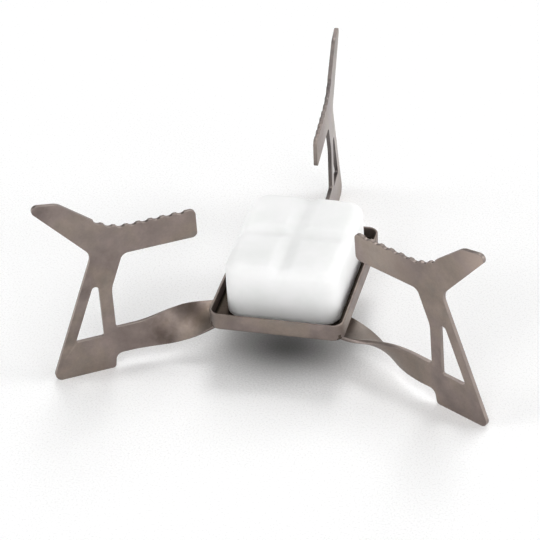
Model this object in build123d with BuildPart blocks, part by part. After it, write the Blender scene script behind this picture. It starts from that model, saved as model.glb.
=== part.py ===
from build123d import *
from math import cos, pi, radians, sin
import os

os.makedirs("parts", exist_ok=True)

# The origin is where the rivet axis meets the ground. X runs along the short
# side of the tray, Y along its long side, and Z is up.

# Tray, drawn from thin sheet
tray_width = 30.4
tray_length = 39.1
tray_depth = 4.3
tray_sheet = 0.5
tray_corner = 2.6
tray_bend = 0.9
tray_underside = 11.35

# Leg blades, stamped from thicker sheet: reaches are from the inner corner of
# the foot, positive away from the tray, and heights are from the ground
leg_sheet = 0.9
pivot_to_foot = 42.65
foot_offset = 1.65
sole_length = 14.55
leg_height = 46.2
horn_reach = 16.3
shoulder_reach = 8.7
shoulder_drop = 1.15
pot_level = 36.15
valley_reach = -2.25
valley_radius = 12.0
waist_reach = 2.65
waist_height = 30.6
arm_reach = -21.4
arm_depth = 6.9
armpit_reach = -4.2
stem_reach = -1.0
stem_top = 20.9

# Rounding of the blade's corners
heel_radius = 0.8
toe_radius = 1.6
tip_radius = 1.2
waist_radius = 3.0
shoulder_radius = 3.8
armpit_radius = 1.9
stem_radius = 6.0
strap_notch_radius = 0.65
strap_root_radius = 1.6

# Triangular window of the blade
window_reach = 1.85
window_sill = 8.95
window_corner = 0.45
window_apex_radius = 0.85
outer_band = 2.45

# Serrations that grip a pot
tooth_count = 8
tooth_width = 1.9
tooth_depth = 0.42
tooth_pitch = 2.74
first_tooth = 3.3

# Strap of a leg, flat at the rivet and turned on edge at the blade
strap_clearance = 3.6
strap_width_at_blade = 6.85
strap_width_at_tab = 7.0
strap_belly = 1.0
tab_radius = 5.5
twist_start = 13.0
twist_end_reach = -4.3
twist_sections = 9

# Compass angle of each leg, and how far its blade leans off upright
left_azimuth, left_lean = 212.5, -1.4
right_azimuth, right_lean = -29.0, -1.8
back_azimuth, back_lean = 94.7, -1.1
stack_height = 7.8
stack_gap = 0.05

# Rivet and what it holds
rivet_radius = 2.0
rivet_clearance = 0.05
rivet_head_radius = 4.2
rivet_head_height = 0.5
rivet_tail_radius = 3.4
rivet_tail_height = 1.1
washer_radius = 4.4
washer_height = 0.5
bush_radius = 3.6

# Fuel tablet, pressed with soft grooves both ways that leave four pillows
tablet_width = 25.6
tablet_length = 31.5
tablet_height = 13.3
tablet_centre = (0.25, 0.45)
tablet_corner = 4.0
tablet_edge = 2.4
groove_depth = 0.9
groove_half_width = 2.4
groove_rim = 6.0
groove_floor = 2.0
pillow_slope = 0.3

shoulder_height = leg_height - shoulder_drop
strap_height = strap_clearance + strap_width_at_blade / 2
strap_top = strap_clearance + strap_width_at_blade
stack_pitch = leg_sheet + stack_gap
hole_radius = rivet_radius + rivet_clearance
tray_floor = tray_underside + tray_sheet
stack_top = stack_height + stack_pitch + leg_sheet / 2
stack_bottom = stack_height - stack_pitch - leg_sheet / 2
tooth_radius = (tooth_width**2 / 4 + tooth_depth**2) / (2 * tooth_depth)


def blade_outline():
    corners = {
        (0, 0): heel_radius,
        (sole_length, 0): toe_radius,
        (waist_reach, waist_height): waist_radius,
        (horn_reach, leg_height): tip_radius,
        (shoulder_reach, shoulder_height): shoulder_radius,
        (valley_reach, pot_level): valley_radius,
        (arm_reach, pot_level): tip_radius,
        (arm_reach, pot_level - arm_depth): tip_radius,
        (armpit_reach, pot_level - arm_depth): armpit_radius,
        (stem_reach, stem_top): stem_radius,
        (stem_reach, strap_top): strap_notch_radius,
        (twist_end_reach, strap_top): 0,
        (twist_end_reach, strap_clearance): 0,
        (stem_reach / 2, strap_clearance): strap_root_radius,
    }
    FilletPolyline(*corners, radius=corners.values(), close=True)


def window_outline():
    # The long side of the window keeps a band of even width along the outer edge
    outer_edge = Vector(waist_reach - sole_length, waist_height)
    band = outer_band * outer_edge.length / waist_height
    reach_per_height = (waist_reach - sole_length) / waist_height
    sill_end = sole_length - band + reach_per_height * window_sill
    apex_height = (window_reach - sole_length + band) / reach_per_height
    FilletPolyline(
        (window_reach, window_sill),
        (sill_end, window_sill),
        (window_reach, apex_height),
        radius=[window_corner, window_corner, window_apex_radius],
        close=True,
    )


def tooth_centres():
    # Evenly pitched from the end of the arm, round the valley and up the horn
    with BuildLine(mode=Mode.PRIVATE) as rim:
        FilletPolyline(
            (arm_reach, pot_level),
            (valley_reach, pot_level),
            (shoulder_reach, shoulder_height),
            radius=valley_radius,
        )
    for tooth in range(tooth_count):
        distance = first_tooth + tooth * tooth_pitch
        spot = rim.wire().position_at(distance, position_mode=PositionMode.LENGTH)
        along = rim.wire().tangent_at(distance, position_mode=PositionMode.LENGTH)
        yield spot + along.rotate(Axis.Z, 90) * (tooth_radius - tooth_depth)


def stamp_leg(azimuth, lean, level):
    outward = Location((0, 0, 0), (0, 0, azimuth))
    tilt = radians(lean)
    # A leaning blade still stands with its lowest edge on the ground
    axis_height = strap_height * cos(tilt) + leg_sheet / 2 * sin(abs(tilt))
    up = Vector(0, sin(tilt), cos(tilt))
    blade = Plane(
        origin=Vector(pivot_to_foot, -foot_offset, axis_height) - up * strap_height,
        x_dir=(1, 0, 0),
        z_dir=(0, -cos(tilt), sin(tilt)),
    )
    twist_end = pivot_to_foot + twist_end_reach
    with BuildPart() as leg:
        with BuildSketch(outward * Plane.XY.offset(level).location):
            Circle(tab_radius)
            start_offset = -foot_offset * twist_start / twist_end
            with Locations((twist_start - tab_radius / 2, start_offset)):
                Rectangle(tab_radius, strap_width_at_tab)
            make_hull()
            Circle(hole_radius, mode=Mode.SUBTRACT)
        extrude(amount=leg_sheet / 2, both=True)
        for step in range(twist_sections):
            share = step / (twist_sections - 1)
            ease = (1 - cos(pi * share)) / 2
            reach = twist_start + share * (twist_end - twist_start)
            turn = ease * radians(90 + lean)
            taper = ease * (strap_width_at_blade - strap_width_at_tab)
            width = strap_width_at_tab + taper + strap_belly * sin(pi * ease)
            height = level + ease * (axis_height - level)
            section = Plane(
                origin=(reach, -foot_offset * reach / twist_end, height),
                x_dir=(0, cos(turn), -sin(turn)),
                z_dir=(1, 0, 0),
            )
            with BuildSketch(outward * section.location):
                Rectangle(width, leg_sheet)
        loft()
        with BuildSketch(outward * blade.location):
            with BuildLine():
                blade_outline()
            make_face()
            with Locations(*tooth_centres()):
                Circle(tooth_radius, mode=Mode.SUBTRACT)
            with BuildLine():
                window_outline()
            make_face(mode=Mode.SUBTRACT)
        extrude(amount=leg_sheet / 2, both=True)
    return leg


# Stacked in the order in which they fold together: right lowest, left highest
leg_left = stamp_leg(left_azimuth, left_lean, stack_height + stack_pitch)
leg_right = stamp_leg(right_azimuth, right_lean, stack_height - stack_pitch)
leg_back = stamp_leg(back_azimuth, back_lean, stack_height)
for name, leg in {"leg_left": leg_left, "leg_right": leg_right, "leg_back": leg_back}.items():
    leg.part.label = name
    export_step(leg.part, f"parts/{name}.step")

with BuildPart() as tray:
    with BuildSketch(Plane.XY.offset(tray_underside)):
        RectangleRounded(tray_width, tray_length, tray_corner)
    extrude(amount=tray_depth)
    fillet(tray.faces().sort_by(Axis.Z)[0].edges(), tray_bend)
    offset(amount=-tray_sheet, openings=tray.faces().sort_by(Axis.Z)[-1])
    with Locations((0, 0, tray_underside + tray_sheet / 2)):
        Hole(rivet_radius)
tray.part.label = "tray"
export_step(tray.part, "parts/tray.step")

with BuildPart() as pivot_rivet:
    shoulder = stack_bottom - washer_height
    head_top = tray_floor + rivet_head_height
    with BuildSketch(Plane.XZ):
        with BuildLine():
            Polyline(
                (0, shoulder - rivet_tail_height),
                (0, head_top),
                (rivet_head_radius - rivet_head_height, head_top),
                (rivet_head_radius, tray_floor),
                (rivet_radius, tray_floor),
                (rivet_radius, shoulder),
                (rivet_tail_radius, shoulder),
            )
            TangentArc((0, shoulder - rivet_tail_height), (rivet_tail_radius, shoulder), tangent=(1, 0))
        make_face()
    revolve(axis=Axis.Z)
pivot_rivet.part.label = "pivot_rivet"
export_step(pivot_rivet.part, "parts/pivot_rivet.step")

with BuildPart() as spacer_bush:
    with BuildSketch(Plane.XY.offset(stack_top)):
        Circle(bush_radius)
        Circle(rivet_radius, mode=Mode.SUBTRACT)
    extrude(amount=tray_underside - stack_top)
spacer_bush.part.label = "spacer_bush"
export_step(spacer_bush.part, "parts/spacer_bush.step")

with BuildPart() as pivot_washer:
    with BuildSketch(Plane.XY.offset(stack_bottom - washer_height)):
        Circle(washer_radius)
        Circle(rivet_radius, mode=Mode.SUBTRACT)
    extrude(amount=washer_height)
pivot_washer.part.label = "pivot_washer"
export_step(pivot_washer.part, "parts/pivot_washer.step")

with BuildPart() as fuel_tablet:
    tablet_base = (*tablet_centre, tray_floor + rivet_head_height)
    with BuildSketch(Plane(tablet_base)):
        RectangleRounded(tablet_width, tablet_length, tablet_corner)
    extrude(amount=tablet_height)
    for side, span in {Plane.XZ: tablet_width, Plane.YZ: tablet_length}.items():
        with BuildSketch(Plane(tablet_base, x_dir=side.x_dir, z_dir=side.z_dir)):
            with BuildLine():
                FilletPolyline(
                    (-span / 2, 0),
                    (span / 2, 0),
                    (span / 2, tablet_height - pillow_slope),
                    (groove_half_width, tablet_height),
                    (0, tablet_height - groove_depth),
                    (-groove_half_width, tablet_height),
                    (-span / 2, tablet_height - pillow_slope),
                    radius=[0, 0, tablet_edge, groove_rim, groove_floor, groove_rim, tablet_edge],
                    close=True,
                )
            make_face()
        extrude(amount=tablet_length, both=True, mode=Mode.INTERSECT)
fuel_tablet.part.label = "fuel_tablet"
export_step(fuel_tablet.part, "parts/fuel_tablet.step")
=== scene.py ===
import math

import bmesh
import bpy
from mathutils import Euler, Matrix, Vector, noise


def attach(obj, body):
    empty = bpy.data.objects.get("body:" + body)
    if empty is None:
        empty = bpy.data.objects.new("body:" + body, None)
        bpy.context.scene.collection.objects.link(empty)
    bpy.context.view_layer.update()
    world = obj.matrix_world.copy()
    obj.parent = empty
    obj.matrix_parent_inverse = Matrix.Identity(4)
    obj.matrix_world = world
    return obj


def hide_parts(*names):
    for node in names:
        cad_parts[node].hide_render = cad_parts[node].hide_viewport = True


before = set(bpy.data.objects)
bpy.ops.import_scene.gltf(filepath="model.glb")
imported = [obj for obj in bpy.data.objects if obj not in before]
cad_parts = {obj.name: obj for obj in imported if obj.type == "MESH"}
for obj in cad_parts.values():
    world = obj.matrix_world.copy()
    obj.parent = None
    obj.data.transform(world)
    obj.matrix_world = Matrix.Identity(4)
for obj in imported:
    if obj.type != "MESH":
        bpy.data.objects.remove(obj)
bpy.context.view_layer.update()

mm = 0.001
noiseLow, noiseHigh = 0.3, 0.7  # nearly all values of a noise texture lie between these
sharpAngle = 40  # degrees between two faces, past which their edge stays crisp
print("frame loaded")


def linear(hexColour):
    # an sRGB hex value as the linear colour that a shader wants
    channels = [int(hexColour[i:i + 2], 16) / 255 for i in (1, 3, 5)]
    return [c / 12.92 if c <= 0.04045 else ((c + 0.055) / 1.055) ** 2.4 for c in channels] + [1]


def addNode(tree, kind, inputs=None, **settings):
    node = tree.nodes.new(kind)
    for name, value in settings.items():
        setattr(node, name, value)
    for socket, value in (inputs or {}).items():
        if isinstance(value, bpy.types.NodeSocket):
            tree.links.new(value, node.inputs[socket])
        else:
            node.inputs[socket].default_value = value
    return node


def newMaterial(name):
    material = bpy.data.materials.new(name)
    material.use_nodes = True
    material.node_tree.nodes.clear()
    return material, material.node_tree


def setRamp(node, stops):
    ramp = node.color_ramp
    while len(ramp.elements) < len(stops):
        ramp.elements.new(0.5)
    for element, (place, colour) in zip(ramp.elements, stops):
        element.position = place
        element.color = linear(colour)
    return node


# finishes of the metal and of the fuel
# a metal finish has these values unless it gives its own
plainMetal = {
    "tintPatch": 6.0,  # mm across one patch of tint
    "cloud": 4.0,  # mm across the softer light and dark clouds
    "cloudShare": 0.06,  # how much a cloud lightens or darkens
    "grainStretch": (1, 1, 1),
    "pitDepth": 0.005,  # mm
    "pitStrength": 0.5,  # how much of the pits' slope the light sees
    "paintedLightAndShade": [],
    "paintedPatchFade": (0.75, 1.6),  # shares of its reach between which a painted patch fades out
}
titanium = {
    "tints": [(0.30, "#80746f"), (0.42, "#897d78"), (0.56, "#8d8178"), (0.70, "#837b75")],
    "tintPatch": 11.0,
    "cloud": 4.5,
    "cloudShare": 0.13,
    "grain": 0.45,  # mm; the tumbled pits are finer, this is as coarse as it needs to show
    "roughness": (0.42, 0.54),
    "pitDepth": 0.006,
    # painted light and shade as patches in the colour: place in mm, reach in mm, and what the colour is
    # multiplied by; above 1 is painted light, below 1 painted shade
    "paintedLightAndShade": [
        ((-19.0, -11.0, 9.0), 7.0, (0.60, 0.57, 0.54)),
        ((-26.5, -17.5, 8.0), 4.5, (0.62, 0.60, 0.58)),
        ((-26.0, -19.5, 5.5), 4.5, (0.76, 0.74, 0.72)),
        ((-48.0, -30.0, 18.0), 13.0, (0.80, 0.79, 0.80)),
        ((-44.0, -28.0, 26.0), 26.0, (0.93, 0.94, 0.94)),
        ((-37.0, -24.0, 25.0), 6.0, (0.90, 0.88, 0.88)),
        ((-50.0, -32.0, 42.0), 8.0, (0.85, 0.85, 0.86)),
        ((29.5, -17.0, 32.5), 3.2, (0.78, 0.74, 0.76)),
        ((-11.0, -20.0, 13.0), 6.0, (0.84, 0.84, 0.86)),
        ((14.0, -20.0, 13.0), 6.0, (0.84, 0.84, 0.86)),
        ((52.0, -28.5, 43.0), 11.0, (1.58, 1.56, 1.54)),
        ((23.0, -13.0, 33.0), 12.0, (1.40, 1.42, 1.44)),
        ((-4.0, 50.0, 24.0), 28.0, (1.62, 1.79, 1.96)),
    ],
}
# painted shade for the inside of the tray, darker near its floor
trayPaintedShade = {
    "tints": [(0.3, "#453d36"), (0.7, "#574d45")],
    "grain": 0.6,
    "roughness": (0.5, 0.65),
}
shearedEdge = {
    "tints": [(0.3, "#857b77"), (0.7, "#9a8f88")],
    "grain": 0.35,  # mm between the lines that the punch leaves
    "grainStretch": (1, 1, 0.3),  # the lines run up through the sheet
    "roughness": (0.42, 0.56),
    "pitDepth": 0.01,
    # painted shade: the back leg's sheared edges are darkened
    "paintedLightAndShade": [((-4.0, 50.0, 24.0), 26.0, (0.60, 0.65, 0.70))],
}
rivetFinish = {
    "tints": [(0.3, "#8c8985"), (0.7, "#a19d98")],
    "grain": 0.5,
    "roughness": (0.28, 0.4),
}
fuelFinish = {
    "tints": [(0.35, "#ebeceb"), (0.65, "#f0f0f0")],
    "patch": 6.0,  # mm across the mottling of the pressed powder
    "crystal": 0.5,  # mm across one grain
    "crystalDepth": 0.03,  # mm
    "crystalStrength": 0.25,
    "roughness": 0.55,
    "shine": 0.3,  # less than a plastic's, because the powder is porous
    "scatter": 5.0,  # mm that light travels under the skin
}


def metalMaterial(name, finish):
    look = {**plainMetal, **finish}
    material, tree = newMaterial(name)
    place = addNode(tree, "ShaderNodeTexCoord").outputs["Object"]
    tint = addNode(tree, "ShaderNodeTexNoise", {
        "Vector": place, "Scale": 1 / (look["tintPatch"] * mm), "Detail": 3, "Roughness": 0.55,
        "Distortion": 0.4})
    tinted = setRamp(addNode(tree, "ShaderNodeValToRGB", {"Fac": tint.outputs["Fac"]}), look["tints"])
    colour = tinted.outputs["Color"]
    cloud = addNode(tree, "ShaderNodeTexNoise", {
        "Vector": place, "Scale": 1 / (look["cloud"] * mm), "Detail": 4, "Roughness": 0.6})
    fadeFrom, fadeTo = look["paintedPatchFade"]
    for centre, reach, tone in look["paintedLightAndShade"]:
        # the cloud noise makes the border of each painted patch ragged
        away = addNode(tree, "ShaderNodeVectorMath", {
            0: place, 1: Vector(centre) * mm}, operation="DISTANCE").outputs["Value"]
        ragged = addNode(tree, "ShaderNodeMath", {
            0: cloud.outputs["Fac"], 1: reach * mm, 2: away}, operation="MULTIPLY_ADD")
        spot = addNode(tree, "ShaderNodeMapRange", {
            "Value": ragged.outputs[0], "From Min": fadeFrom * reach * mm, "From Max": fadeTo * reach * mm},
            interpolation_type="SMOOTHSTEP")
        change = addNode(tree, "ShaderNodeMix", {
            0: spot.outputs["Result"], 4: tone, 5: (1, 1, 1)}, data_type="VECTOR")
        colour = addNode(tree, "ShaderNodeVectorMath", {
            0: colour, 1: change.outputs[1]}, operation="MULTIPLY").outputs["Vector"]
    share = look["cloudShare"]
    level = addNode(tree, "ShaderNodeMapRange", {
        "Value": cloud.outputs["Fac"], "From Min": noiseLow, "From Max": noiseHigh,
        "To Min": 1 - share, "To Max": 1 + share})
    clouded = addNode(tree, "ShaderNodeVectorMath", {
        0: colour, "Scale": level.outputs["Result"]}, operation="SCALE")
    stretched = addNode(tree, "ShaderNodeMapping", {"Vector": place, "Scale": look["grainStretch"]})
    grain = addNode(tree, "ShaderNodeTexNoise", {
        "Vector": stretched.outputs["Vector"], "Scale": 1 / (look["grain"] * mm), "Detail": 2})
    low, high = look["roughness"]
    rough = addNode(tree, "ShaderNodeMapRange", {
        "Value": grain.outputs["Fac"], "From Min": noiseLow, "From Max": noiseHigh,
        "To Min": low, "To Max": high})
    bump = addNode(tree, "ShaderNodeBump", {
        "Height": grain.outputs["Fac"], "Strength": look["pitStrength"], "Distance": look["pitDepth"] * mm})
    shader = addNode(tree, "ShaderNodeBsdfPrincipled", {
        "Base Color": clouded.outputs["Vector"], "Roughness": rough.outputs["Result"],
        "Normal": bump.outputs["Normal"], "Metallic": 1.0})
    addNode(tree, "ShaderNodeOutputMaterial", {"Surface": shader.outputs["BSDF"]})
    return material


# titanium sheet, cold rolled, blanked and tumbled: a satin warm grey with faint straw and mauve heat tints,
# and patches of painted light and shade
titaniumSheet = metalMaterial("titaniumSheetTumbled", titanium)
# the same sheet where the punch sheared it: brighter bare metal with fine lines through the thickness, and
# painted shade on the back leg's edges
titaniumSheared = metalMaterial("titaniumShearedEdge", shearedEdge)
# painted shade inside the tray: its floor and the foot of its walls darkened to a near black brown
paintedShadeSheet = metalMaterial("titaniumSheetPaintedShade", trayPaintedShade)
# cold headed rivet metal: smoother and a little greyer than the sheet
rivetMetal = metalMaterial("rivetColdHeaded", rivetFinish)


def fuelMaterial(look):
    material, tree = newMaterial("fuelPressedPowder")
    place = addNode(tree, "ShaderNodeTexCoord").outputs["Object"]
    mottle = addNode(tree, "ShaderNodeTexNoise", {
        "Vector": place, "Scale": 1 / (look["patch"] * mm), "Detail": 3})
    colour = setRamp(addNode(tree, "ShaderNodeValToRGB", {"Fac": mottle.outputs["Fac"]}), look["tints"])
    crystal = addNode(tree, "ShaderNodeTexNoise", {
        "Vector": place, "Scale": 1 / (look["crystal"] * mm), "Detail": 3, "Roughness": 0.6})
    bump = addNode(tree, "ShaderNodeBump", {
        "Height": crystal.outputs["Fac"], "Strength": look["crystalStrength"],
        "Distance": look["crystalDepth"] * mm})
    shader = addNode(tree, "ShaderNodeBsdfPrincipled", {
        "Base Color": colour.outputs["Color"], "Roughness": look["roughness"],
        "Specular IOR Level": look["shine"],
        "Subsurface Weight": 1.0, "Subsurface Radius": (1, 1, 1),
        "Subsurface Scale": look["scatter"] * mm, "Normal": bump.outputs["Normal"]})
    addNode(tree, "ShaderNodeOutputMaterial", {"Surface": shader.outputs["BSDF"]})
    return material


# hexamine powder pressed into a block: waxy matt white, and light scatters a little way under its skin
fuelPressed = fuelMaterial(fuelFinish)
print("finishes made")


def roundedOutline(corners, degreesPerStep=7.5):
    # corners are (point, radius), and each becomes an arc; a radius of 0 stays sharp
    outline = []
    for i, (corner, radius) in enumerate(corners):
        corner = Vector(corner)
        if radius == 0:
            outline.append(corner)
            continue
        before = (Vector(corners[i - 1][0]) - corner).normalized()
        after = (Vector(corners[(i + 1) % len(corners)][0]) - corner).normalized()
        half = before.angle(after) / 2
        centre = corner + (before + after).normalized() * radius / math.sin(half)
        first = corner + before * radius / math.tan(half) - centre
        last = corner + after * radius / math.tan(half) - centre
        sweep = first.angle(last)
        steps = max(2, math.ceil(math.degrees(sweep) / degreesPerStep))
        for step in range(steps + 1):
            share = step / steps
            spoke = first * math.sin((1 - share) * sweep) + last * math.sin(share * sweep)
            outline.append(centre + spoke.normalized() * radius)
    return outline


def addLoop(bm, outline):
    corners = [bm.verts.new((p[0] * mm, p[1] * mm, 0)) for p in outline]
    return [bm.edges.new((corners[i - 1], corners[i])) for i in range(len(corners))]


def ringSkin(bm, rings, capped):
    # rings of points, in mm, joined one to the next by quads, then capped, or the last joined to the first
    made = [[bm.verts.new(Vector(p) * mm) for p in ring] for ring in rings]
    following = made[1:] if capped else made[1:] + made[:1]
    for lower, upper in zip(made, following):
        for i in range(len(lower)):
            bm.faces.new((lower[i - 1], lower[i], upper[i], upper[i - 1]))
    if capped:
        bm.faces.new(made[0])
        bm.faces.new(made[-1])


def finishMesh(name, bm, material, smoothAngle=sharpAngle):
    bmesh.ops.recalc_face_normals(bm, faces=bm.faces)
    mesh = bpy.data.meshes.new(name)
    bm.to_mesh(mesh)
    bm.free()
    mesh.materials.append(material)
    mesh.shade_smooth()
    mesh.set_sharp_from_angle(angle=math.radians(smoothAngle))
    piece = bpy.data.objects.new(name, mesh)
    bpy.context.scene.collection.objects.link(piece)
    return piece


def bakeModifiers(piece):
    # the evaluated shape becomes the piece's own plain mesh
    bpy.context.view_layer.update()
    graph = bpy.context.evaluated_depsgraph_get()
    mesh = bpy.data.meshes.new_from_object(piece.evaluated_get(graph), depsgraph=graph)
    piece.modifiers.clear()
    piece.data = mesh
    return piece


def fit(piece, body, node):
    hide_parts(node)
    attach(piece, body)


# legs: one stamped blank, cut, twisted and folded out three times
# in mm: reaches are from the inner corner of the foot, positive away from the tray, heights from the ground
leg = {
    "sheet": 0.9, "pivotToFoot": 42.65, "footOffset": 1.65, "soleLength": 14.55,
    "legHeight": 46.2, "hornReach": 16.3, "shoulder": (8.7, 45.05), "potLevel": 36.15,
    "valleyReach": -2.25, "valleyRadius": 12.0, "waist": (2.65, 30.6), "armReach": -21.4,
    "armDepth": 6.9, "armpitReach": -4.2, "stemReach": -1.0, "stemTop": 20.9,
    "windowReach": 1.85, "windowSill": 8.95, "windowBand": 2.45,
    "toothCount": 8, "toothWidth": 1.9, "toothDepth": 0.42, "toothPitch": 2.74, "firstTooth": 3.3,
    "strapClearance": 3.6, "strapAtBlade": 6.85, "strapAtTab": 7.0, "strapBelly": 1.0,
    "tabRadius": 5.5, "holeRadius": 2.05, "twistStart": 13.0, "twistEnd": 38.35,
    "heelRound": 0.8, "toeRound": 1.6, "waistRound": 3.0, "tipRound": 1.2, "shoulderRound": 3.8,
    "armpitRound": 1.9, "stemRound": 6.0, "notchRound": 0.65, "strapRootRound": 1.6,
    "windowCorner": 0.45, "windowApexRound": 0.85,
    "bladeSide": -10.0,  # in the flat blank, what lies beyond this line belongs to the blade
    "edgeRound": 0.07, "edgeSegments": 2,
    "punchLength": 3.0,  # longer than the sheet is thick, so that each tooth is cut through
    "blankWeld": 0.01, "toothWeld": 0.02,  # points closer than this become one
    "strapSteps": 44, "strapColumns": 6, "tabSteps": 48, "holeSteps": 40, "toothSteps": 40,
    "valleySteps": 24,
}
# compass angle of each leg, how far its blade leans off upright, and the height of its tab's middle
legPlaces = {
    "leftLeg": {"azimuth": 212.5, "lean": -1.4, "level": 8.75, "body": "left_leg", "node": "leg_left"},
    "rightLeg": {"azimuth": -29.0, "lean": -1.8, "level": 6.85, "body": "right_leg", "node": "leg_right"},
    "backLeg": {"azimuth": 94.7, "lean": -1.1, "level": 7.8, "body": "back_leg", "node": "leg_back"},
}
strapHeight = leg["strapClearance"] + leg["strapAtBlade"] / 2


def onBlank(reach, height):
    # a point of the blade, from the inner foot corner, as it lies in the flat blank
    return Vector((leg["pivotToFoot"] + reach, strapHeight - leg["footOffset"] - height))


def strapBorder(share):
    # the strap's cross row at a share of its length, swelling where the quarter turn draws it out
    ease = (1 - math.cos(math.pi * share)) / 2
    reach = leg["twistStart"] + share * (leg["twistEnd"] - leg["twistStart"])
    width = leg["strapAtTab"] + ease * (leg["strapAtBlade"] - leg["strapAtTab"])
    width += leg["strapBelly"] * math.sin(math.pi * ease)
    middle = -leg["footOffset"] * reach / leg["twistEnd"]
    columns = leg["strapColumns"]
    return [Vector((reach, middle + width * (i / columns - 0.5))) for i in range(columns + 1)]


def bladeOutline():
    top = strapHeight + leg["strapAtBlade"] / 2
    bottom = leg["strapClearance"]
    pot, arm, armFoot = leg["potLevel"], leg["armReach"], leg["potLevel"] - leg["armDepth"]
    end = leg["twistEnd"] - leg["pivotToFoot"]
    stem, tip = leg["stemReach"], leg["tipRound"]
    corners = [
        ((0, 0), leg["heelRound"]), ((leg["soleLength"], 0), leg["toeRound"]),
        (leg["waist"], leg["waistRound"]), ((leg["hornReach"], leg["legHeight"]), tip),
        (leg["shoulder"], leg["shoulderRound"]), ((leg["valleyReach"], pot), leg["valleyRadius"]),
        ((arm, pot), tip), ((arm, armFoot), tip), ((leg["armpitReach"], armFoot), leg["armpitRound"]),
        ((stem, leg["stemTop"]), leg["stemRound"]), ((stem, top), leg["notchRound"]),
        ((end, top), 0), ((end, bottom), 0), ((stem / 2, bottom), leg["strapRootRound"]),
    ]
    return roundedOutline([(onBlank(*point), radius) for point, radius in corners])


def windowOutline():
    # the long side of the window keeps a band of even width along the blade's outer edge
    outer = Vector(leg["waist"]) - Vector((leg["soleLength"], 0))
    slope = outer.x / outer.y
    band = leg["windowBand"] * outer.length / outer.y
    sill, inner, corner = leg["windowSill"], leg["windowReach"], leg["windowCorner"]
    sillEnd = leg["soleLength"] - band + slope * sill
    apex = (inner - leg["soleLength"] + band) / slope
    corners = [((inner, sill), corner), ((sillEnd, sill), corner), ((inner, apex), leg["windowApexRound"])]
    return roundedOutline([(onBlank(*point), radius) for point, radius in corners], degreesPerStep=10)


def circlePoints(radius, steps, height=0):
    turns = [2 * math.pi * i / steps for i in range(steps)]
    return [Vector((radius * math.cos(turn), radius * math.sin(turn), height)) for turn in turns]


def tabOutline():
    # round the rivet, then straight tangents to the start of the strap
    border = strapBorder(0)
    radius, steps = leg["tabRadius"], leg["tabSteps"]
    low, high = (math.atan2(corner.y, corner.x) + side * math.acos(radius / corner.length)
                 for corner, side in ((border[0], -1), (border[-1], 1)))
    sweep = 2 * math.pi - (high - low)
    arc = [high + sweep * i / steps for i in range(steps + 1)]
    return [Vector((radius * math.cos(a), radius * math.sin(a))) for a in arc]


def legBlank():
    bm = bmesh.new()
    rows = leg["strapSteps"]
    strap = [strapBorder(i / rows) for i in range(rows + 1)]
    grid = [[bm.verts.new((p.x * mm, p.y * mm, 0)) for p in row] for row in strap]
    for a, b in zip(grid, grid[1:]):
        for i in range(len(a) - 1):
            bm.faces.new((a[i], b[i], b[i + 1], a[i + 1]))
    outline = bladeOutline()
    # the strap's last row takes the place of the straight run between its two corners
    cut = min(range(len(outline)), key=lambda i: (outline[i] - strap[-1][0]).length)
    outline[cut + 1:cut + 1] = strap[-1][1:-1]
    window = windowOutline()
    bmesh.ops.triangle_fill(bm, use_beauty=True, edges=addLoop(bm, outline) + addLoop(bm, window))
    hole = circlePoints(leg["holeRadius"], leg["holeSteps"])
    tab = tabOutline() + strap[0]
    bmesh.ops.triangle_fill(bm, use_beauty=True, edges=addLoop(bm, tab) + addLoop(bm, hole))
    bmesh.ops.remove_doubles(bm, verts=bm.verts, dist=leg["blankWeld"] * mm)
    for face in bm.faces:
        if face.normal.z < 0:
            face.normal_flip()
    mesh = bpy.data.meshes.new("legBlank")
    bm.to_mesh(mesh)
    bm.free()
    mesh.materials.append(titaniumSheet)
    mesh.materials.append(titaniumSheared)
    return mesh


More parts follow.
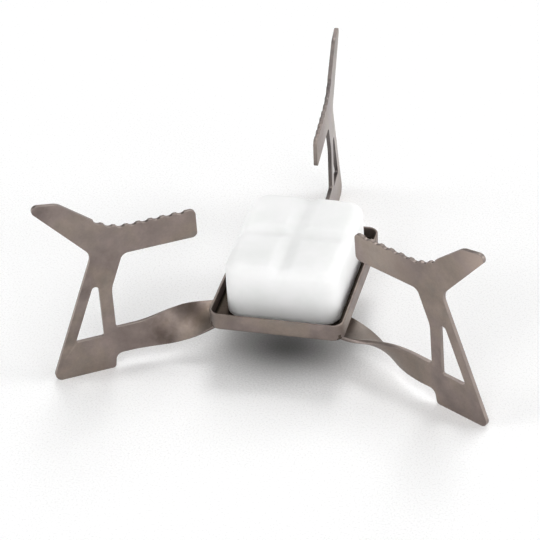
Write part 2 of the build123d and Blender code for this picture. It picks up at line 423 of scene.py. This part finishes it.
def legTree():
    # cuts the teeth along the rim, then turns the strap through its quarter twist
    tree = bpy.data.node_groups.new("stampedLeg", "GeometryNodeTree")
    sockets = {
        "Geometry": "NodeSocketGeometry", "Rim": "NodeSocketObject", "Valley Radius": "NodeSocketFloat",
        "Tooth Count": "NodeSocketInt", "First Tooth": "NodeSocketFloat", "Tooth Pitch": "NodeSocketFloat",
        "Tooth Radius": "NodeSocketFloat", "Tooth Lift": "NodeSocketFloat",
        "Punch Length": "NodeSocketFloat", "Weld": "NodeSocketFloat", "Blade Side": "NodeSocketFloat",
        "Twist Start": "NodeSocketFloat", "Twist End": "NodeSocketFloat", "Full Turn": "NodeSocketFloat",
        "Tab Height": "NodeSocketFloat", "Strap Height": "NodeSocketFloat", "Foot Offset": "NodeSocketFloat",
        "Sheet": "NodeSocketMaterial", "Edge": "NodeSocketMaterial",
    }
    names = {name: tree.interface.new_socket(name=name, in_out="INPUT", socket_type=kind).identifier
             for name, kind in sockets.items()}
    tree.interface.new_socket(name="Geometry", in_out="OUTPUT", socket_type="NodeSocketGeometry")
    given = addNode(tree, "NodeGroupInput").outputs

    rim = addNode(tree, "GeometryNodeObjectInfo", {"Object": given["Rim"]})
    path = addNode(tree, "GeometryNodeFilletCurve", {
        "Curve": rim.outputs["Geometry"], "Count": leg["valleySteps"], "Radius": given["Valley Radius"]},
        mode="POLY")
    start = addNode(tree, "ShaderNodeCombineXYZ", {"X": given["First Tooth"]})
    pitch = addNode(tree, "ShaderNodeCombineXYZ", {"X": given["Tooth Pitch"]})
    spots = addNode(tree, "GeometryNodeMeshLine", {
        "Count": given["Tooth Count"], "Start Location": start.outputs["Vector"],
        "Offset": pitch.outputs["Vector"]})
    position = addNode(tree, "GeometryNodeInputPosition").outputs["Position"]
    split = addNode(tree, "ShaderNodeSeparateXYZ", {"Vector": position}).outputs
    along = addNode(tree, "GeometryNodeSampleCurve", {
        "Curves": path.outputs["Curve"], "Length": split["X"]}, mode="LENGTH", use_all_curves=True)
    outward = addNode(tree, "ShaderNodeVectorMath", {
        0: along.outputs["Tangent"], 1: (0, 0, 1)}, operation="CROSS_PRODUCT")
    lifted = addNode(tree, "ShaderNodeVectorMath", {
        0: outward.outputs["Vector"], "Scale": given["Tooth Lift"]}, operation="SCALE")
    centre = addNode(tree, "ShaderNodeVectorMath", {
        0: along.outputs["Position"], 1: lifted.outputs["Vector"]}, operation="ADD")
    placed = addNode(tree, "GeometryNodeSetPosition", {
        "Geometry": spots.outputs["Mesh"], "Position": centre.outputs["Vector"]})
    punch = addNode(tree, "GeometryNodeMeshCylinder", {
        "Vertices": leg["toothSteps"], "Radius": given["Tooth Radius"], "Depth": given["Punch Length"]})
    punches = addNode(tree, "GeometryNodeInstanceOnPoints", {
        "Points": placed.outputs["Geometry"], "Instance": punch.outputs["Mesh"]})
    cutters = addNode(tree, "GeometryNodeRealizeInstances", {"Geometry": punches.outputs["Instances"]})
    toothed = addNode(tree, "GeometryNodeMeshBoolean", {
        "Mesh 1": given["Geometry"], "Mesh 2": cutters.outputs["Geometry"]},
        operation="DIFFERENCE", solver="EXACT")
    merged = addNode(tree, "GeometryNodeMergeByDistance", {
        "Geometry": toothed.outputs["Mesh"], "Distance": given["Weld"]})

    # the faces that the punch sheared stand upright while the blank is still flat, and are marked
    normal = addNode(tree, "GeometryNodeInputNormal").outputs["Normal"]
    upright = addNode(tree, "ShaderNodeSeparateXYZ", {"Vector": normal}).outputs["Z"]
    steep = addNode(tree, "ShaderNodeMath", {0: upright}, operation="ABSOLUTE")
    sheared = addNode(tree, "FunctionNodeCompare", {"A": steep.outputs[0], "B": 0.5}, operation="LESS_THAN")
    marked = addNode(tree, "GeometryNodeStoreNamedAttribute", {
        "Geometry": merged.outputs["Geometry"], "Name": "sheared", "Value": sheared.outputs["Result"]},
        data_type="BOOLEAN", domain="FACE")

    # the blade and its arm lie beyond the strap's side, and turn as one
    blade = addNode(tree, "ShaderNodeMath", {0: split["Y"], 1: given["Blade Side"]}, operation="LESS_THAN")
    strapShare = addNode(tree, "ShaderNodeMapRange", {
        "Value": split["X"], "From Min": given["Twist Start"], "From Max": given["Twist End"]})
    share = addNode(tree, "ShaderNodeMath", {
        0: strapShare.outputs["Result"], 1: blade.outputs[0]}, operation="MAXIMUM")
    phase = addNode(tree, "ShaderNodeMath", {0: share.outputs[0], 1: math.pi}, operation="MULTIPLY")
    wave = addNode(tree, "ShaderNodeMath", {0: phase.outputs[0]}, operation="COSINE")
    ease = addNode(tree, "ShaderNodeMapRange", {"Value": wave.outputs[0], "From Min": 1.0, "From Max": -1.0})
    turn = addNode(tree, "ShaderNodeMath", {
        0: ease.outputs["Result"], 1: given["Full Turn"]}, operation="MULTIPLY")
    level = addNode(tree, "ShaderNodeMapRange", {
        "Value": ease.outputs["Result"], "To Min": given["Tab Height"], "To Max": given["Strap Height"]})
    slant = addNode(tree, "ShaderNodeMapRange", {"Value": split["X"], "From Max": given["Twist End"]})
    slantShare = addNode(tree, "ShaderNodeMath", {
        0: slant.outputs["Result"], 1: blade.outputs[0]}, operation="MAXIMUM")
    middle = addNode(tree, "ShaderNodeMath", {
        0: slantShare.outputs[0], 1: given["Foot Offset"]}, operation="MULTIPLY")
    across = addNode(tree, "ShaderNodeMath", {0: split["Y"], 1: middle.outputs[0]}, operation="SUBTRACT")
    section = addNode(tree, "ShaderNodeCombineXYZ", {"Y": across.outputs[0], "Z": split["Z"]})
    backTurn = addNode(tree, "ShaderNodeMath", {0: turn.outputs[0], 1: -1.0}, operation="MULTIPLY")
    turned = addNode(tree, "ShaderNodeVectorRotate", {
        "Vector": section.outputs["Vector"], "Angle": backTurn.outputs[0]}, rotation_type="X_AXIS")
    axis = addNode(tree, "ShaderNodeCombineXYZ", {
        "X": split["X"], "Y": middle.outputs[0], "Z": level.outputs["Result"]})
    bent = addNode(tree, "ShaderNodeVectorMath", {
        0: turned.outputs["Vector"], 1: axis.outputs["Vector"]}, operation="ADD")
    twisted = addNode(tree, "GeometryNodeSetPosition", {
        "Geometry": marked.outputs["Geometry"], "Position": bent.outputs["Vector"]})

    smooth = addNode(tree, "GeometryNodeSetShadeSmooth", {"Geometry": twisted.outputs["Geometry"]})
    real = addNode(tree, "GeometryNodeRealizeInstances", {"Geometry": smooth.outputs["Geometry"]})
    faces = addNode(tree, "GeometryNodeSetMaterial", {
        "Geometry": real.outputs["Geometry"], "Material": given["Sheet"]})
    mark = addNode(tree, "GeometryNodeInputNamedAttribute", {"Name": "sheared"}, data_type="BOOLEAN")
    edges = addNode(tree, "GeometryNodeSetMaterial", {
        "Geometry": faces.outputs["Geometry"], "Selection": mark.outputs["Attribute"],
        "Material": given["Edge"]})
    addNode(tree, "NodeGroupOutput", {"Geometry": edges.outputs["Geometry"]})
    return tree, names


def makeRim():
    # the line that the teeth follow: along the arm, round the valley and up the horn
    curve = bpy.data.curves.new("armRim", "CURVE")
    curve.dimensions = "3D"
    spline = curve.splines.new("POLY")
    run = [(leg["armReach"], leg["potLevel"]), (leg["valleyReach"], leg["potLevel"]), leg["shoulder"]]
    spline.points.add(len(run) - 1)
    for point, place in zip(spline.points, run):
        point.co = (*(onBlank(*place) * mm), 0, 1)
    rim = bpy.data.objects.new("armRim", curve)
    bpy.context.scene.collection.objects.link(rim)
    return rim


def makeLeg(name, spot, blank, rim, stampTree, socketNames):
    lean = math.radians(spot["lean"])
    # a leaning blade still stands with its lowest edge on the ground
    axisHeight = strapHeight * math.cos(lean) + leg["sheet"] / 2 * math.sin(abs(lean))
    toothRadius = (leg["toothWidth"] ** 2 / 4 + leg["toothDepth"] ** 2) / (2 * leg["toothDepth"])
    piece = bpy.data.objects.new(name, blank.copy())
    bpy.context.scene.collection.objects.link(piece)
    thick = piece.modifiers.new("sheet", "SOLIDIFY")
    thick.thickness = leg["sheet"] * mm
    thick.offset = 0
    stamp = piece.modifiers.new("stamp", "NODES")
    stamp.node_group = stampTree
    values = {
        "Rim": rim, "Valley Radius": leg["valleyRadius"] * mm, "Tooth Count": leg["toothCount"],
        "First Tooth": leg["firstTooth"] * mm, "Tooth Pitch": leg["toothPitch"] * mm,
        "Tooth Radius": toothRadius * mm, "Tooth Lift": (toothRadius - leg["toothDepth"]) * mm,
        "Punch Length": leg["punchLength"] * mm, "Weld": leg["toothWeld"] * mm,
        "Blade Side": leg["bladeSide"] * mm,
        "Twist Start": leg["twistStart"] * mm, "Twist End": leg["twistEnd"] * mm,
        "Full Turn": math.pi / 2 + lean, "Tab Height": spot["level"] * mm,
        "Strap Height": axisHeight * mm, "Foot Offset": -leg["footOffset"] * mm,
        "Sheet": titaniumSheet, "Edge": titaniumSheared,
    }
    for key, value in values.items():
        stamp[socketNames[key]] = value
    soften = piece.modifiers.new("edgeRound", "BEVEL")
    soften.width = leg["edgeRound"] * mm
    soften.segments = leg["edgeSegments"]
    soften.limit_method = "ANGLE"
    soften.angle_limit = math.radians(sharpAngle)
    soften.use_clamp_overlap = False
    soften.material = 1  # the slot of the sheared edge
    even = piece.modifiers.new("evenNormals", "WEIGHTED_NORMAL")
    even.keep_sharp = True
    bakeModifiers(piece)
    piece.data.transform(Matrix.Rotation(math.radians(spot["azimuth"]), 4, "Z"))
    fit(piece, spot["body"], spot["node"])
    print(name, len(piece.data.polygons), "faces")


blank = legBlank()
rim = makeRim()
stampTree, socketNames = legTree()
for name, spot in legPlaces.items():
    makeLeg(name, spot, blank, rim, stampTree, socketNames)
bpy.data.objects.remove(rim)

# tray, drawn from one thin sheet, in mm
tray = {
    "width": 30.4, "length": 39.1, "depth": 4.3, "sheet": 0.5, "corner": 2.6, "bend": 0.9,
    "underside": 11.35, "rimRound": 0.17, "holeRadius": 2.0,
    "waver": 0.07,  # how far the drawn wall strays from straight
    "waverScale": 0.11,  # waves in a mm
    "waverLift": 0.8,  # the rim's rise and fall, as a share of the waver
    "paintedShadeTop": 0.45,  # share of the depth up to which the inside takes the painted shade
    "paintedShadeWall": 0.9,  # share of the wall's thickness past which a face counts as inside
    "cornerSteps": 12, "sideSteps": 14, "bendSteps": 6, "rimSteps": 4, "wallSteps": 4, "floorSteps": 7,
    "smoothAngle": 50,
}


def trayRing(inset, height):
    # the tray's outline, drawn in by the inset: each corner, then the straight side after it
    width, length = tray["width"] / 2 - inset, tray["length"] / 2 - inset
    radius = tray["corner"] - inset
    ring = []
    for quarter, (sx, sy) in enumerate(((1, 1), (-1, 1), (-1, -1), (1, -1))):
        cx, cy = sx * (width - radius), sy * (length - radius)
        for step in range(tray["cornerSteps"] + 1):
            angle = math.pi / 2 * (quarter + step / tray["cornerSteps"])
            ring.append(Vector((cx + radius * math.cos(angle), cy + radius * math.sin(angle), height)))
        nx, ny = ((-1, 1), (-1, -1), (1, -1), (1, 1))[quarter]
        angle = math.pi / 2 * (quarter + 1)
        far = Vector((nx * (width - radius) + radius * math.cos(angle),
                      ny * (length - radius) + radius * math.sin(angle), height))
        near = ring[-1]
        for step in range(1, tray["sideSteps"]):
            ring.append(near.lerp(far, step / tray["sideSteps"]))
    return ring


def circleRing(radius, height, like):
    return [Vector((p.x, p.y, 0)).normalized() * radius + Vector((0, 0, height)) for p in like]


def traySection():
    # (inset, height) from the underside, up the wall, over the rim and down to the floor inside
    depth, sheet, bend, rim = tray["depth"], tray["sheet"], tray["bend"], tray["rimRound"]
    inner, wall = bend - sheet, depth - rim - bend
    bendTurns = [math.pi / 2 * i / tray["bendSteps"] for i in range(tray["bendSteps"] + 1)]
    rimTurns = [math.pi / 2 * i / tray["rimSteps"] for i in range(tray["rimSteps"] + 1)]
    shares = [i / tray["wallSteps"] for i in range(1, tray["wallSteps"] + 1)]
    section = [(bend * (1 - math.sin(a)), bend * (1 - math.cos(a))) for a in bendTurns]
    section += [(0, bend + wall * share) for share in shares]
    section += [(rim * (1 - math.cos(a)), depth - rim * (1 - math.sin(a))) for a in rimTurns[1:]]
    section += [(sheet - rim * (1 - math.sin(a)), depth - rim * (1 - math.cos(a))) for a in rimTurns]
    section += [(sheet, depth - rim - wall * share) for share in shares[:-1]]
    section += [(sheet + inner * (1 - math.cos(a)), sheet + inner * (1 - math.sin(a))) for a in bendTurns]
    return section


def swayWall(ring, share):
    # the wall strays most at its rim, where share is 1
    for point in ring:
        sway = noise.noise(Vector((point.x, point.y, 0)) * tray["waverScale"]) * tray["waver"] * share
        outward = Vector((point.x, point.y, 0)).normalized()
        point += outward * sway + Vector((0, 0, sway * tray["waverLift"]))


def floorRings(source, height):
    # from a ring at the foot of the wall in to the rivet's hole
    steps = tray["floorSteps"]
    hole = circleRing(tray["holeRadius"], height, source)
    return [[a.lerp(b, i / steps) for a, b in zip(source, hole)] for i in range(1, steps + 1)]


def paintShadeInside(mesh):
    # tested by a plain box, so the foot of each rounded corner takes a little painted shade on the outside
    # too
    halfWidth = (tray["width"] / 2 - tray["sheet"] * tray["paintedShadeWall"]) * mm
    halfLength = (tray["length"] / 2 - tray["sheet"] * tray["paintedShadeWall"]) * mm
    lowest = (tray["underside"] + tray["sheet"] / 2) * mm
    highest = (tray["underside"] + tray["depth"] * tray["paintedShadeTop"]) * mm
    for face in mesh.polygons:
        spot = face.center
        inside = abs(spot.x) < halfWidth and abs(spot.y) < halfLength
        if inside and lowest < spot.z < highest:
            face.material_index = 1


def makeTray():
    base, bend = tray["underside"], tray["bend"]
    section = traySection()
    rings = [trayRing(inset, base + height) for inset, height in section]
    for ring, (inset, height) in zip(rings, section):
        swayWall(ring, max(0, (height - bend) / (tray["depth"] - bend)))
    under = floorRings(rings[0], base)
    inside = floorRings(rings[-1], base + tray["sheet"])
    bm = bmesh.new()
    ringSkin(bm, list(reversed(under)) + rings + inside, capped=False)
    piece = finishMesh("drawnTray", bm, titaniumSheet, tray["smoothAngle"])
    piece.data.materials.append(paintedShadeSheet)
    paintShadeInside(piece.data)
    return piece


trayPiece = makeTray()
fit(trayPiece, "tray", "tray")
print("tray made")

# rivet, bush and washer, all turned shapes, in mm
pivot = {
    "shank": 2.0, "headRadius": 4.2, "headHeight": 0.5, "tailRadius": 3.4, "tailHeight": 1.1,
    "washerRadius": 4.4, "washerHeight": 0.5, "bushRadius": 3.6, "edge": 0.12,
    "headShoulder": ((0.1, 0.45), (0.35, 0.8), (1.0, 1.0)),  # shares of its height, in from the rim and up
    "headPole": 0.3,  # the flat left in the middle of the head
    "tailPole": 0.15,  # and in the middle of the tail, as a share of one step
    "steps": 72, "tailSteps": 12, "edgeSteps": 4,
}
legStackTop = legPlaces["leftLeg"]["level"] + leg["sheet"] / 2
legStackFoot = legPlaces["rightLeg"]["level"] - leg["sheet"] / 2
washerFoot = legStackFoot - pivot["washerHeight"]
trayFloor = tray["underside"] + tray["sheet"]
headTop = trayFloor + pivot["headHeight"]


def lathe(name, section, capped):
    bm = bmesh.new()
    ringSkin(bm, [circlePoints(radius, pivot["steps"], height) for radius, height in section], capped)
    return finishMesh(name, bm, rivetMetal)


def collar(outer, foot, top):
    # the section of a ring on the rivet's shank, its outer corners rounded, from the bore round to the bore
    inner, edge, steps = pivot["shank"], pivot["edge"], pivot["edgeSteps"]
    turns = [math.pi / 2 * i / steps for i in range(steps + 1)]
    section = [(inner, foot), (outer - edge, foot)]
    section += [(outer - edge + edge * math.sin(a), foot + edge - edge * math.cos(a)) for a in turns[1:]]
    section += [(outer - edge + edge * math.cos(a), top - edge + edge * math.sin(a)) for a in turns]
    section.append((inner, top))
    return section


def rivetSection():
    # from the middle of the domed tail, up the shank and over the low head
    shank, rim, tail = pivot["shank"], pivot["headRadius"], pivot["tailHeight"]
    dome = (pivot["tailRadius"] ** 2 + tail ** 2) / (2 * tail)
    reach = math.asin(pivot["tailRadius"] / dome)
    steps = pivot["tailSteps"]
    section = [(dome * math.sin(reach * max(i, pivot["tailPole"]) / steps),
                washerFoot - tail + dome * (1 - math.cos(reach * i / steps))) for i in range(steps + 1)]
    section += [(shank, washerFoot), (shank, trayFloor), (rim, trayFloor)]
    section += [(rim - pivot["headHeight"] * share, trayFloor + pivot["headHeight"] * rise)
                for share, rise in pivot["headShoulder"]]
    section.append((pivot["headPole"], headTop))
    return section


rivet = lathe("pivotRivet", rivetSection(), capped=True)
fit(rivet, "tray", "pivot_rivet")
bush = lathe("spacerBush", collar(pivot["bushRadius"], legStackTop, tray["underside"]), capped=False)
fit(bush, "tray", "spacer_bush")
washer = lathe("pivotWasher", collar(pivot["washerRadius"], washerFoot, legStackFoot), capped=False)
fit(washer, "tray", "pivot_washer")
print("rivet, bush and washer made")

# fuel tablet, a pressed block with four soft pillows, in mm
tablet = {
    "width": 25.6, "length": 31.5, "height": 13.25, "centre": (0.25, 0.45), "corner": 4.0, "edge": 2.4,
    "grooveDepth": 0.66, "grooveHalf": 3.0, "pillowSlope": 0.3, "footRound": 0.3,
    "grooveJoin": 2.6,  # the higher, the less the two grooves deepen where they cross
    "unevenness": 0.05,
    "unevenScale": 0.22,  # waves in a mm
    "unevenLayer": 3,  # height at which the noise is read
    "crowding": 0.86,  # how much closer the rows stand towards the ends, where the block rounds off
    "columns": 84, "rows": 100, "sideRows": 16, "footSteps": 4,
    "smoothAngle": 60,
}


def spread(count):
    # from -1 to 1, closer together towards the ends
    turn = math.pi * tablet["crowding"]
    return [math.sin((i / count - 0.5) * turn) / math.sin(turn / 2) for i in range(count + 1)]


def roundPlan(x, y):
    # the block's rectangle with its upright corners rounded
    width, length, radius = tablet["width"] / 2, tablet["length"] / 2, tablet["corner"]
    px, py = x * width, y * length
    cx = max(-width + radius, min(width - radius, px))
    cy = max(-length + radius, min(length - radius, py))
    away = Vector((px - cx, py - cy))
    if away.x and away.y:
        # the square corner patch is drawn onto the quarter disc
        reach = max(abs(away.x), abs(away.y))
        away = away.normalized() * reach
    return Vector((cx, cy)) + away


def edgeDistance(x, y):
    # how far a point of the top lies inside the block's outline
    width, length, radius = tablet["width"] / 2, tablet["length"] / 2, tablet["corner"]
    qx, qy = abs(x) - width + radius, abs(y) - length + radius
    outside = math.hypot(max(qx, 0), max(qy, 0))
    return radius - outside - min(max(qx, qy), 0)


def tabletTop(x, y):
    edge, join = tablet["edge"], tablet["grooveJoin"]
    drops = []
    for place in (x, y):
        dip = max(0, 1 - abs(place) / tablet["grooveHalf"])
        drops.append(tablet["grooveDepth"] * dip * dip * (3 - 2 * dip))
    groove = (drops[0] ** join + drops[1] ** join) ** (1 / join)
    slope = tablet["pillowSlope"] * ((x / tablet["width"] * 2) ** 2 + (y / tablet["length"] * 2) ** 2) / 2
    inside = min(max(edgeDistance(x, y), 0), edge)
    rounding = edge - math.sqrt(edge ** 2 - (edge - inside) ** 2)
    rough = noise.noise(Vector((x, y, tablet["unevenLayer"])) * tablet["unevenScale"]) * tablet["unevenness"]
    return tablet["height"] - groove - slope - rounding + rough * inside / edge - tablet["unevenness"] / 2


def makeTablet():
    ox, oy = tablet["centre"]
    bm = bmesh.new()
    top = []
    for y in spread(tablet["rows"]):
        places = [roundPlan(x, y) for x in spread(tablet["columns"])]
        top.append([bm.verts.new(Vector((p.x + ox, p.y + oy, headTop + tabletTop(*p))) * mm) for p in places])
    for a, b in zip(top, top[1:]):
        for i in range(len(a) - 1):
            bm.faces.new((a[i], a[i + 1], b[i + 1], b[i]))
    rim = top[0] + [line[-1] for line in top[1:]] + list(reversed(top[-1][:-1]))
    rim += [line[0] for line in reversed(top[1:-1])]
    # straight sides down from the rim, then a rounded lower edge
    loops = [rim]
    foot = tablet["footRound"]
    footHeight = (headTop + foot) * mm
    for step in range(1, tablet["sideRows"] + 1):
        share = step / tablet["sideRows"]
        loops.append([bm.verts.new((v.co.x, v.co.y, v.co.z + (footHeight - v.co.z) * share)) for v in rim])
    middle = Vector((ox, oy, 0)) * mm
    for step in range(1, tablet["footSteps"] + 1):
        angle = math.pi / 2 * step / tablet["footSteps"]
        inset = foot * (1 - math.cos(angle)) * mm
        raised = Vector((0, 0, (headTop + foot * (1 - math.sin(angle))) * mm))
        ring = []
        for v in rim:
            flat = Vector((v.co.x, v.co.y, 0)) - middle
            ring.append(bm.verts.new(middle + flat * (1 - inset / flat.length) + raised))
        loops.append(ring)
    for upper, lower in zip(loops, loops[1:]):
        for i in range(len(upper)):
            bm.faces.new((upper[i - 1], upper[i], lower[i], lower[i - 1]))
    bm.faces.new(loops[-1])
    return finishMesh("fuelTablet", bm, fuelPressed, tablet["smoothAngle"])


fuel = makeTablet()
fit(fuel, "tablet", "fuel_tablet")
print("tablet made", len(fuel.data.polygons), "faces")

# floor, backdrop, light and camera
studio = {
    "floorSize": 6.0, "floorColour": "#fbfbfb", "floorLift": 0.05,
    "speckle": 0.42,  # mm across the tooth of the paper
    "speckleShade": (0.87, 1.08),
    # the deep middle of the shadow: mm, and what is left of the light there
    "nookCentre": (-0.5, -8.0, 0.0), "nookShape": (0.76, 0.95, 1.0),
    "nookReach": (0.0, 19.0), "nookDepth": 0.17,
    "skyLow": 1.0, "skyHigh": 0.085,  # strength of the white backdrop, and of the sky above it
    "skyTurn": (0.084, 0.12),  # sines of the elevations between which the backdrop ends
}
view = {
    "lens": 171.729, "sensor": 36, "clip": (0.05, 20),
    "place": (0.127031, -0.454870, 0.345175),  # metres
    "turn": (55.0663, 3.0896, 14.1237),  # degrees
}
# far softboxes: degrees off upright, compass angle, half width in degrees, share of the light on the floor
softboxes = {
    "frontHighSoftbox": (25, 280, 18, 0.08),
    "frontSoftbox": (43, 279, 22, 0.215),
    "backHighSoftbox": (27, 88, 10, 0.20),
    "backSoftbox": (46, 92, 12, 0.09),
    "backLowSoftbox": (72, 90, 18, 0.02),
    "rightSoftbox": (57, 10, 14, 0.12),
    "rightLowFill": (80, 20, 20, 0.045),
    "leftLowFill": (78, 199, 20, 0.12),
    "frontLowFill": (78, 322, 20, 0.065),
}


def seenDirectly(tree):
    # 1 for what is seen by the camera, in a reflection or through glass, and 0 for the rest
    seen = addNode(tree, "ShaderNodeLightPath").outputs
    mirrored = addNode(tree, "ShaderNodeMath", {
        0: seen["Is Camera Ray"], 1: seen["Is Glossy Ray"]}, operation="MAXIMUM")
    return addNode(tree, "ShaderNodeMath", {
        0: mirrored.outputs[0], 1: seen["Is Transmission Ray"]}, operation="MAXIMUM").outputs[0]


def floorMaterial():
    # matt white paper sweep
    material, tree = newMaterial("whitePaperSweep")
    darkest, lightest = studio["speckleShade"]
    place = addNode(tree, "ShaderNodeTexCoord").outputs["Object"]
    tooth = addNode(tree, "ShaderNodeTexNoise", {
        "Vector": place, "Scale": 1 / (studio["speckle"] * mm), "Detail": 2, "Roughness": 0.7})
    shade = addNode(tree, "ShaderNodeMapRange", {
        "Value": tooth.outputs["Fac"], "From Min": noiseLow, "From Max": noiseHigh,
        "To Min": darkest, "To Max": lightest})
    paper = addNode(tree, "ShaderNodeVectorMath", {
        0: linear(studio["floorColour"])[:3], "Scale": shade.outputs["Result"]}, operation="SCALE")
    # far lamps alone leave the middle of the shadow under the tray too pale, so it is deepened here
    nook = addNode(tree, "ShaderNodeMapping", {
        "Vector": place, "Scale": studio["nookShape"],
        "Location": [-c * mm * k for c, k in zip(studio["nookCentre"], studio["nookShape"])]})
    away = addNode(tree, "ShaderNodeVectorMath", {0: nook.outputs["Vector"]}, operation="LENGTH")
    near, far = studio["nookReach"]
    deep = addNode(tree, "ShaderNodeMapRange", {
        "Value": away.outputs["Value"], "From Min": near * mm, "From Max": far * mm,
        "To Min": studio["nookDepth"], "To Max": 1.0}, interpolation_type="SMOOTHSTEP")
    deepened = addNode(tree, "ShaderNodeVectorMath", {
        0: paper.outputs["Vector"], "Scale": deep.outputs["Result"]}, operation="SCALE")
    # and a little light is added, so that the rest reads as white
    raised = addNode(tree, "ShaderNodeMath", {
        0: deep.outputs["Result"], 1: studio["floorLift"]}, operation="MULTIPLY")
    lift = addNode(tree, "ShaderNodeEmission", {"Strength": raised.outputs[0]})
    direct = seenDirectly(tree)
    nothing = addNode(tree, "ShaderNodeEmission", {"Strength": 0.0})
    shown = addNode(tree, "ShaderNodeMix", {
        0: direct, 6: paper.outputs["Vector"], 7: deepened.outputs["Vector"]}, data_type="RGBA")
    matt = addNode(tree, "ShaderNodeBsdfDiffuse", {"Color": shown.outputs[2]})
    glow = addNode(tree, "ShaderNodeMixShader", {
        0: direct, 1: nothing.outputs[0], 2: lift.outputs[0]})
    both = addNode(tree, "ShaderNodeAddShader", {0: matt.outputs[0], 1: glow.outputs[0]})
    addNode(tree, "ShaderNodeOutputMaterial", {"Surface": both.outputs[0]})
    return material


def makeFloor():
    bm = bmesh.new()
    bmesh.ops.create_grid(bm, x_segments=4, y_segments=4, size=studio["floorSize"] / 2)
    mesh = bpy.data.meshes.new("paperFloor")
    bm.to_mesh(mesh)
    bm.free()
    mesh.materials.append(floorMaterial())
    floor = bpy.data.objects.new("paperFloor", mesh)
    bpy.context.scene.collection.objects.link(floor)


def makeWorld():
    # a white backdrop that darkens overhead, as a studio does between its lamps
    world = bpy.data.worlds.new("studio")
    bpy.context.scene.world = world
    world.use_nodes = True
    tree = world.node_tree
    tree.nodes.clear()
    heading = addNode(tree, "ShaderNodeTexCoord").outputs["Generated"]
    height = addNode(tree, "ShaderNodeSeparateXYZ", {"Vector": heading}).outputs["Z"]
    turnFrom, turnTo = studio["skyTurn"]
    band = addNode(tree, "ShaderNodeMapRange", {
        "Value": height, "From Min": turnFrom, "From Max": turnTo,
        "To Min": studio["skyLow"], "To Max": studio["skyHigh"]}, interpolation_type="SMOOTHSTEP")
    backdrop = addNode(tree, "ShaderNodeBackground", {"Strength": band.outputs["Result"]})
    fill = addNode(tree, "ShaderNodeBackground", {"Strength": studio["skyHigh"]})
    sky = addNode(tree, "ShaderNodeMixShader", {
        0: seenDirectly(tree), 1: fill.outputs[0], 2: backdrop.outputs[0]})
    addNode(tree, "ShaderNodeOutputWorld", {"Surface": sky.outputs[0]})


def addSoftbox(name, lean, compass, halfWidth, share):
    light = bpy.data.lights.new(name, "SUN")
    light.angle = math.radians(2 * halfWidth)
    light.energy = math.pi * share / math.cos(math.radians(lean))
    lamp = bpy.data.objects.new(name, light)
    lamp.rotation_euler = (math.radians(lean), 0, math.radians(compass + 90))
    bpy.context.scene.collection.objects.link(lamp)


def makeCamera():
    camera = bpy.data.cameras.new("camera")
    camera.lens = view["lens"]
    camera.sensor_width = view["sensor"]
    camera.clip_start, camera.clip_end = view["clip"]
    eye = bpy.data.objects.new("camera", camera)
    eye.location = view["place"]
    eye.rotation_euler = Euler([math.radians(angle) for angle in view["turn"]])
    bpy.context.scene.collection.objects.link(eye)
    bpy.context.scene.camera = eye


makeFloor()
makeWorld()
for name, place in softboxes.items():
    addSoftbox(name, *place)
makeCamera()
bpy.context.scene.view_settings.view_transform = "Standard"
print("studio made")
